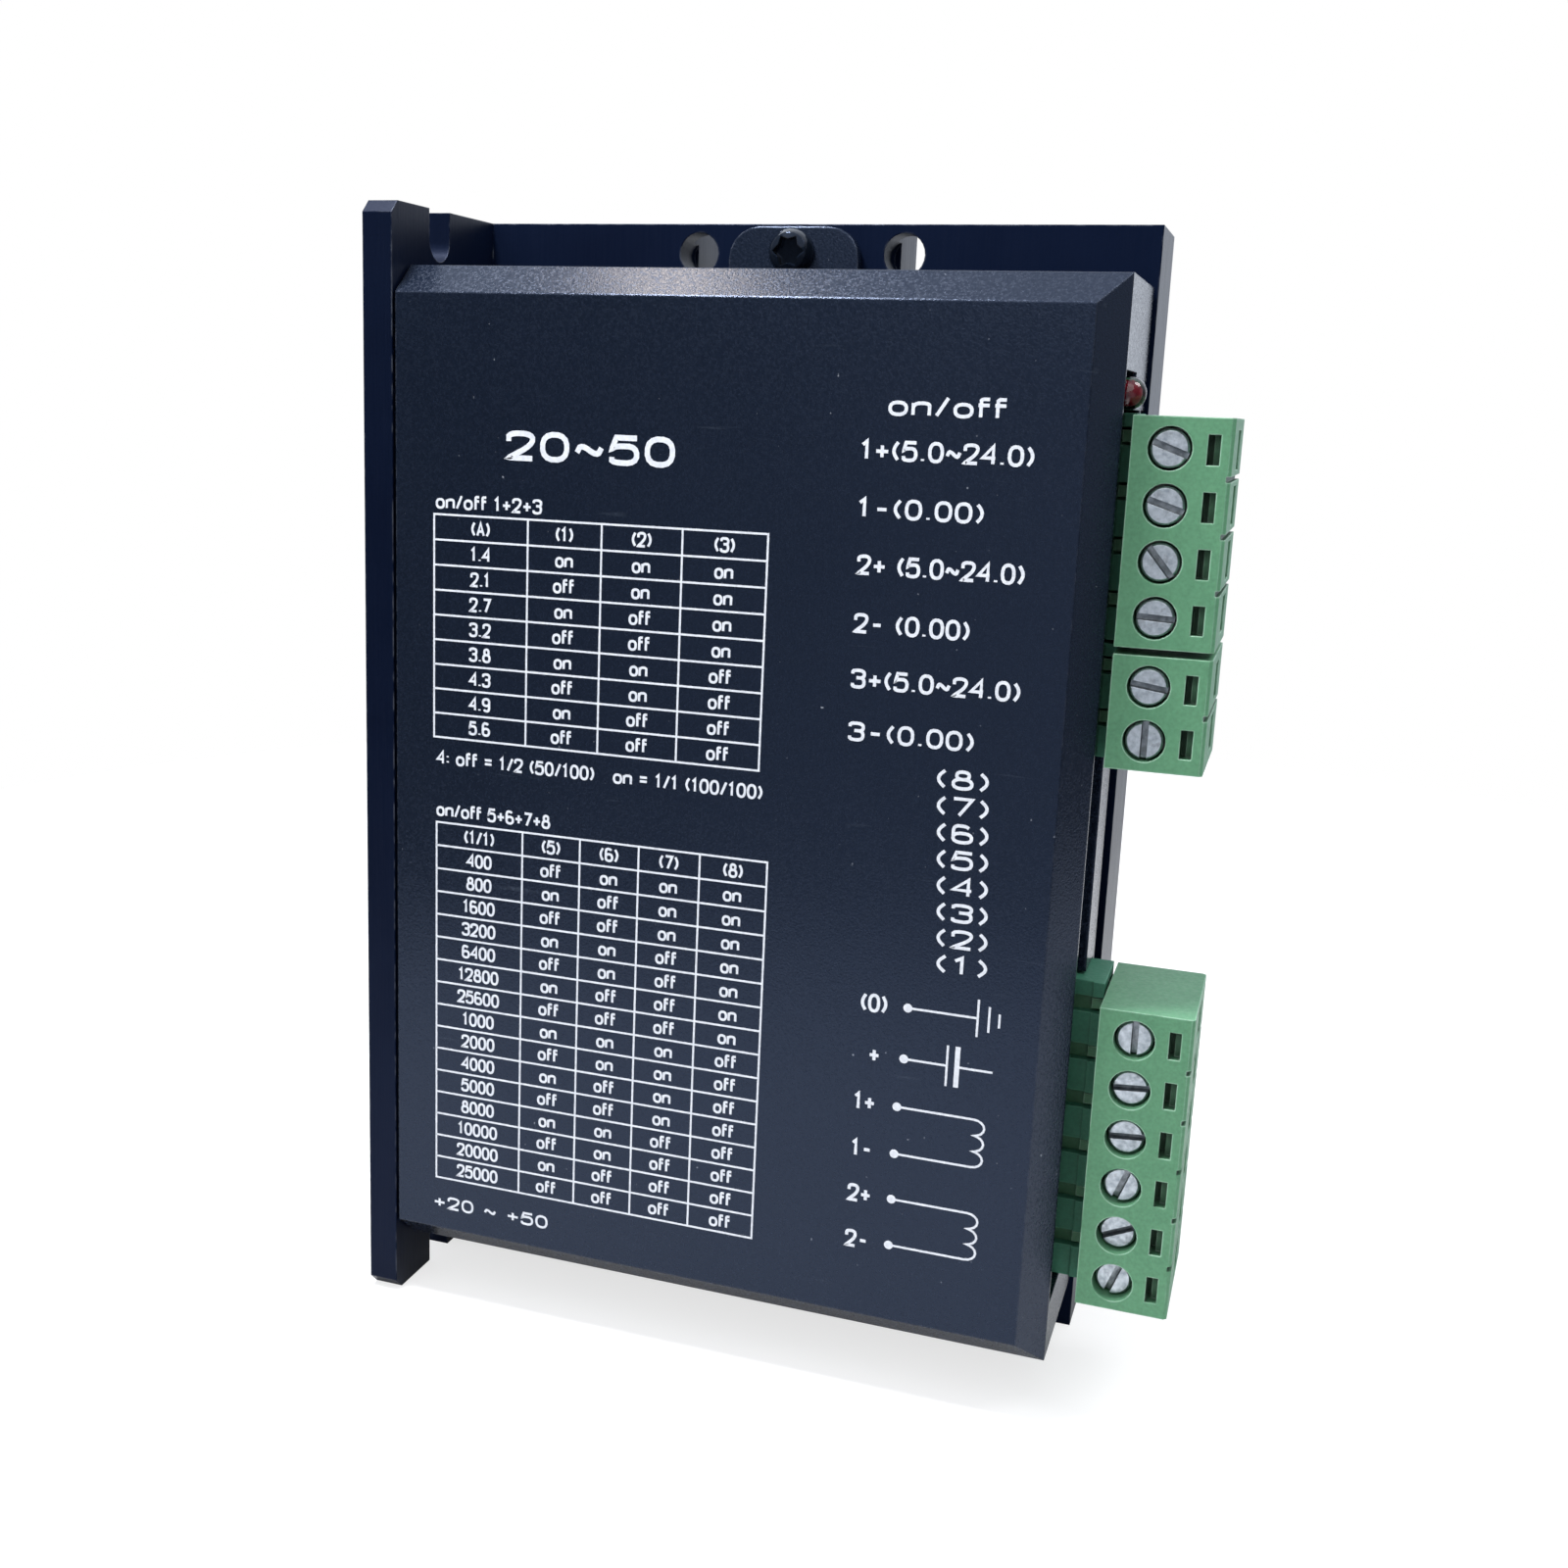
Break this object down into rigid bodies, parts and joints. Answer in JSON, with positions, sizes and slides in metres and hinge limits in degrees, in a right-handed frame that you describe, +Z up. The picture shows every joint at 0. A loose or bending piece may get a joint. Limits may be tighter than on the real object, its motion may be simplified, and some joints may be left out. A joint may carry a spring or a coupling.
{
  "type": "stepper motor driver module",
  "caption": "Two-phase stepper motor driver: finned L-shaped heat sink, chamfered cover with printed tables, switch block and pull-off screw terminal plugs.",
  "frame": {"origin": "middle of the box around the whole driver, at its bottom end, where it stands on the end of its heat sink", "axes": "+Z up along the heat sink, +X towards the wire entries of the terminal plugs, -Y out of the printed cover, +Y out of the fins"},
  "size_m": [0.087, 0.034, 0.118],
  "materials": {
    "anodised": "black anodised extrusion, satin, with fine lines along its length",
    "cover": "moulded black-blue plastic with a fine sparked texture and white screen printing",
    "black_screw": "black zinc, glossy",
    "board": "green solder mask",
    "header": "dark green moulded polyamide",
    "terminal": "green moulded polyamide, satin",
    "switch": "black moulded plastic",
    "lever": "white moulded plastic",
    "light": "red tinted clear resin",
    "steel": "zinc plated steel, turned faces",
    "clamp": "nickel plated stamping",
    "brass": "turned brass",
    "chip": "black moulding compound",
    "sleeve": "dark blue shrink sleeve with an aluminium end",
    "pad": "grey silicone heat pad",
    "print": "white screen printing ink on the cover"
  },
  "bodies": {
    "root": {"heat_sink": "anodised", "cover": "cover", "cover_screw_top": "black_screw", "cover_screw_bottom": "black_screw", "circuit_board": "board", "signal_header": "header", "enable_header": "header", "power_header": "header", "switch_body": "switch", "status_light": "light", "bulk_capacitor_1": "sleeve", "bulk_capacitor_2": "sleeve", "controller_chip": "chip", "phase_driver_a": "chip", "phase_driver_b": "chip", "thermal_pad": "pad", "board_spacer_1": "brass", "board_spacer_2": "brass", "board_spacer_3": "brass", "board_spacer_4": "brass", "board_screw_1": "steel", "board_screw_2": "steel", "board_screw_3": "steel", "board_screw_4": "steel"},
    "signal_plug": {"signal_plug": "terminal"},
    "clamp_screw_1": {"clamp_screw_1": "steel"},
    "wire_clamp_1": {"wire_clamp_1": "clamp"},
    "clamp_screw_2": {"clamp_screw_2": "steel"},
    "wire_clamp_2": {"wire_clamp_2": "clamp"},
    "clamp_screw_3": {"clamp_screw_3": "steel"},
    "wire_clamp_3": {"wire_clamp_3": "clamp"},
    "clamp_screw_4": {"clamp_screw_4": "steel"},
    "wire_clamp_4": {"wire_clamp_4": "clamp"},
    "enable_plug": {"enable_plug": "terminal"},
    "clamp_screw_5": {"clamp_screw_5": "steel"},
    "wire_clamp_5": {"wire_clamp_5": "clamp"},
    "clamp_screw_6": {"clamp_screw_6": "steel"},
    "wire_clamp_6": {"wire_clamp_6": "clamp"},
    "power_plug": {"power_plug": "terminal"},
    "clamp_screw_7": {"clamp_screw_7": "steel"},
    "wire_clamp_7": {"wire_clamp_7": "clamp"},
    "clamp_screw_8": {"clamp_screw_8": "steel"},
    "wire_clamp_8": {"wire_clamp_8": "clamp"},
    "clamp_screw_9": {"clamp_screw_9": "steel"},
    "wire_clamp_9": {"wire_clamp_9": "clamp"},
    "clamp_screw_10": {"clamp_screw_10": "steel"},
    "wire_clamp_10": {"wire_clamp_10": "clamp"},
    "clamp_screw_11": {"clamp_screw_11": "steel"},
    "wire_clamp_11": {"wire_clamp_11": "clamp"},
    "clamp_screw_12": {"clamp_screw_12": "steel"},
    "wire_clamp_12": {"wire_clamp_12": "clamp"},
    "switch_lever_1": {"switch_lever_1": "lever"},
    "switch_lever_2": {"switch_lever_2": "lever"},
    "switch_lever_3": {"switch_lever_3": "lever"},
    "switch_lever_4": {"switch_lever_4": "lever"},
    "switch_lever_5": {"switch_lever_5": "lever"},
    "switch_lever_6": {"switch_lever_6": "lever"},
    "switch_lever_7": {"switch_lever_7": "lever"},
    "switch_lever_8": {"switch_lever_8": "lever"}
  },
  "joints": [
    {"name": "signal_plug_pull", "type": "slide", "parent": "root", "child": "signal_plug", "axis": [1, 0, 0], "range_m": [0, 0.012]},
    {"name": "clamp_screw_1_turn", "type": "hinge", "parent": "signal_plug", "child": "clamp_screw_1", "pos_m": [0.03637, -0.01325, 0.0969], "axis": [0, 1, 0], "range_deg": [0, 1730]},
    {"name": "wire_clamp_1_rise", "type": "slide", "parent": "signal_plug", "child": "wire_clamp_1", "axis": [0, -1, 0], "range_m": [0, 0.0024]},
    {"name": "clamp_screw_2_turn", "type": "hinge", "parent": "signal_plug", "child": "clamp_screw_2", "pos_m": [0.03637, -0.01325, 0.09182], "axis": [0, 1, 0], "range_deg": [0, 1730]},
    {"name": "wire_clamp_2_rise", "type": "slide", "parent": "signal_plug", "child": "wire_clamp_2", "axis": [0, -1, 0], "range_m": [0, 0.0024]},
    {"name": "clamp_screw_3_turn", "type": "hinge", "parent": "signal_plug", "child": "clamp_screw_3", "pos_m": [0.03637, -0.01325, 0.08674], "axis": [0, 1, 0], "range_deg": [0, 1730]},
    {"name": "wire_clamp_3_rise", "type": "slide", "parent": "signal_plug", "child": "wire_clamp_3", "axis": [0, -1, 0], "range_m": [0, 0.0024]},
    {"name": "clamp_screw_4_turn", "type": "hinge", "parent": "signal_plug", "child": "clamp_screw_4", "pos_m": [0.03637, -0.01325, 0.08166], "axis": [0, 1, 0], "range_deg": [0, 1730]},
    {"name": "wire_clamp_4_rise", "type": "slide", "parent": "signal_plug", "child": "wire_clamp_4", "axis": [0, -1, 0], "range_m": [0, 0.0024]},
    {"name": "enable_plug_pull", "type": "slide", "parent": "root", "child": "enable_plug", "axis": [1, 0, 0], "range_m": [0, 0.012]},
    {"name": "clamp_screw_5_turn", "type": "hinge", "parent": "enable_plug", "child": "clamp_screw_5", "pos_m": [0.03637, -0.01325, 0.0753], "axis": [0, 1, 0], "range_deg": [0, 1730]},
    {"name": "wire_clamp_5_rise", "type": "slide", "parent": "enable_plug", "child": "wire_clamp_5", "axis": [0, -1, 0], "range_m": [0, 0.0024]},
    {"name": "clamp_screw_6_turn", "type": "hinge", "parent": "enable_plug", "child": "clamp_screw_6", "pos_m": [0.03637, -0.01325, 0.07022], "axis": [0, 1, 0], "range_deg": [0, 1730]},
    {"name": "wire_clamp_6_rise", "type": "slide", "parent": "enable_plug", "child": "wire_clamp_6", "axis": [0, -1, 0], "range_m": [0, 0.0024]},
    {"name": "power_plug_pull", "type": "slide", "parent": "root", "child": "power_plug", "axis": [1, 0, 0], "range_m": [0, 0.012]},
    {"name": "clamp_screw_7_turn", "type": "hinge", "parent": "power_plug", "child": "clamp_screw_7", "pos_m": [0.03798, -0.01325, 0.0411], "axis": [0, 1, 0], "range_deg": [0, 1730]},
    {"name": "wire_clamp_7_rise", "type": "slide", "parent": "power_plug", "child": "wire_clamp_7", "axis": [0, -1, 0], "range_m": [0, 0.0024]},
    {"name": "clamp_screw_8_turn", "type": "hinge", "parent": "power_plug", "child": "clamp_screw_8", "pos_m": [0.03798, -0.01325, 0.03602], "axis": [0, 1, 0], "range_deg": [0, 1730]},
    {"name": "wire_clamp_8_rise", "type": "slide", "parent": "power_plug", "child": "wire_clamp_8", "axis": [0, -1, 0], "range_m": [0, 0.0024]},
    {"name": "clamp_screw_9_turn", "type": "hinge", "parent": "power_plug", "child": "clamp_screw_9", "pos_m": [0.03798, -0.01325, 0.03094], "axis": [0, 1, 0], "range_deg": [0, 1730]},
    {"name": "wire_clamp_9_rise", "type": "slide", "parent": "power_plug", "child": "wire_clamp_9", "axis": [0, -1, 0], "range_m": [0, 0.0024]},
    {"name": "clamp_screw_10_turn", "type": "hinge", "parent": "power_plug", "child": "clamp_screw_10", "pos_m": [0.03798, -0.01325, 0.02586], "axis": [0, 1, 0], "range_deg": [0, 1730]},
    {"name": "wire_clamp_10_rise", "type": "slide", "parent": "power_plug", "child": "wire_clamp_10", "axis": [0, -1, 0], "range_m": [0, 0.0024]},
    {"name": "clamp_screw_11_turn", "type": "hinge", "parent": "power_plug", "child": "clamp_screw_11", "pos_m": [0.03798, -0.01325, 0.02078], "axis": [0, 1, 0], "range_deg": [0, 1730]},
    {"name": "wire_clamp_11_rise", "type": "slide", "parent": "power_plug", "child": "wire_clamp_11", "axis": [0, -1, 0], "range_m": [0, 0.0024]},
    {"name": "clamp_screw_12_turn", "type": "hinge", "parent": "power_plug", "child": "clamp_screw_12", "pos_m": [0.03798, -0.01325, 0.0157], "axis": [0, 1, 0], "range_deg": [0, 1730]},
    {"name": "wire_clamp_12_rise", "type": "slide", "parent": "power_plug", "child": "wire_clamp_12", "axis": [0, -1, 0], "range_m": [0, 0.0024]},
    {"name": "switch_lever_1_slide", "type": "slide", "parent": "root", "child": "switch_lever_1", "axis": [0, -1, 0], "range_m": [0, 0.0014]},
    {"name": "switch_lever_2_slide", "type": "slide", "parent": "root", "child": "switch_lever_2", "axis": [0, -1, 0], "range_m": [0, 0.0014]},
    {"name": "switch_lever_3_slide", "type": "slide", "parent": "root", "child": "switch_lever_3", "axis": [0, -1, 0], "range_m": [0, 0.0014]},
    {"name": "switch_lever_4_slide", "type": "slide", "parent": "root", "child": "switch_lever_4", "axis": [0, -1, 0], "range_m": [0, 0.0014]},
    {"name": "switch_lever_5_slide", "type": "slide", "parent": "root", "child": "switch_lever_5", "axis": [0, -1, 0], "range_m": [0, 0.0014]},
    {"name": "switch_lever_6_slide", "type": "slide", "parent": "root", "child": "switch_lever_6", "axis": [0, -1, 0], "range_m": [0, 0.0014]},
    {"name": "switch_lever_7_slide", "type": "slide", "parent": "root", "child": "switch_lever_7", "axis": [0, -1, 0], "range_m": [0, 0.0014]},
    {"name": "switch_lever_8_slide", "type": "slide", "parent": "root", "child": "switch_lever_8", "axis": [0, -1, 0], "range_m": [0, 0.0014]}
  ],
  "couplings": [
    {"joint": "clamp_screw_1_turn", "follows": "wire_clamp_1_rise", "rad_per_m": 12566},
    {"joint": "clamp_screw_2_turn", "follows": "wire_clamp_2_rise", "rad_per_m": 12566},
    {"joint": "clamp_screw_3_turn", "follows": "wire_clamp_3_rise", "rad_per_m": 12566},
    {"joint": "clamp_screw_4_turn", "follows": "wire_clamp_4_rise", "rad_per_m": 12566},
    {"joint": "clamp_screw_5_turn", "follows": "wire_clamp_5_rise", "rad_per_m": 12566},
    {"joint": "clamp_screw_6_turn", "follows": "wire_clamp_6_rise", "rad_per_m": 12566},
    {"joint": "clamp_screw_7_turn", "follows": "wire_clamp_7_rise", "rad_per_m": 12566},
    {"joint": "clamp_screw_8_turn", "follows": "wire_clamp_8_rise", "rad_per_m": 12566},
    {"joint": "clamp_screw_9_turn", "follows": "wire_clamp_9_rise", "rad_per_m": 12566},
    {"joint": "clamp_screw_10_turn", "follows": "wire_clamp_10_rise", "rad_per_m": 12566},
    {"joint": "clamp_screw_11_turn", "follows": "wire_clamp_11_rise", "rad_per_m": 12566},
    {"joint": "clamp_screw_12_turn", "follows": "wire_clamp_12_rise", "rad_per_m": 12566}
  ]
}
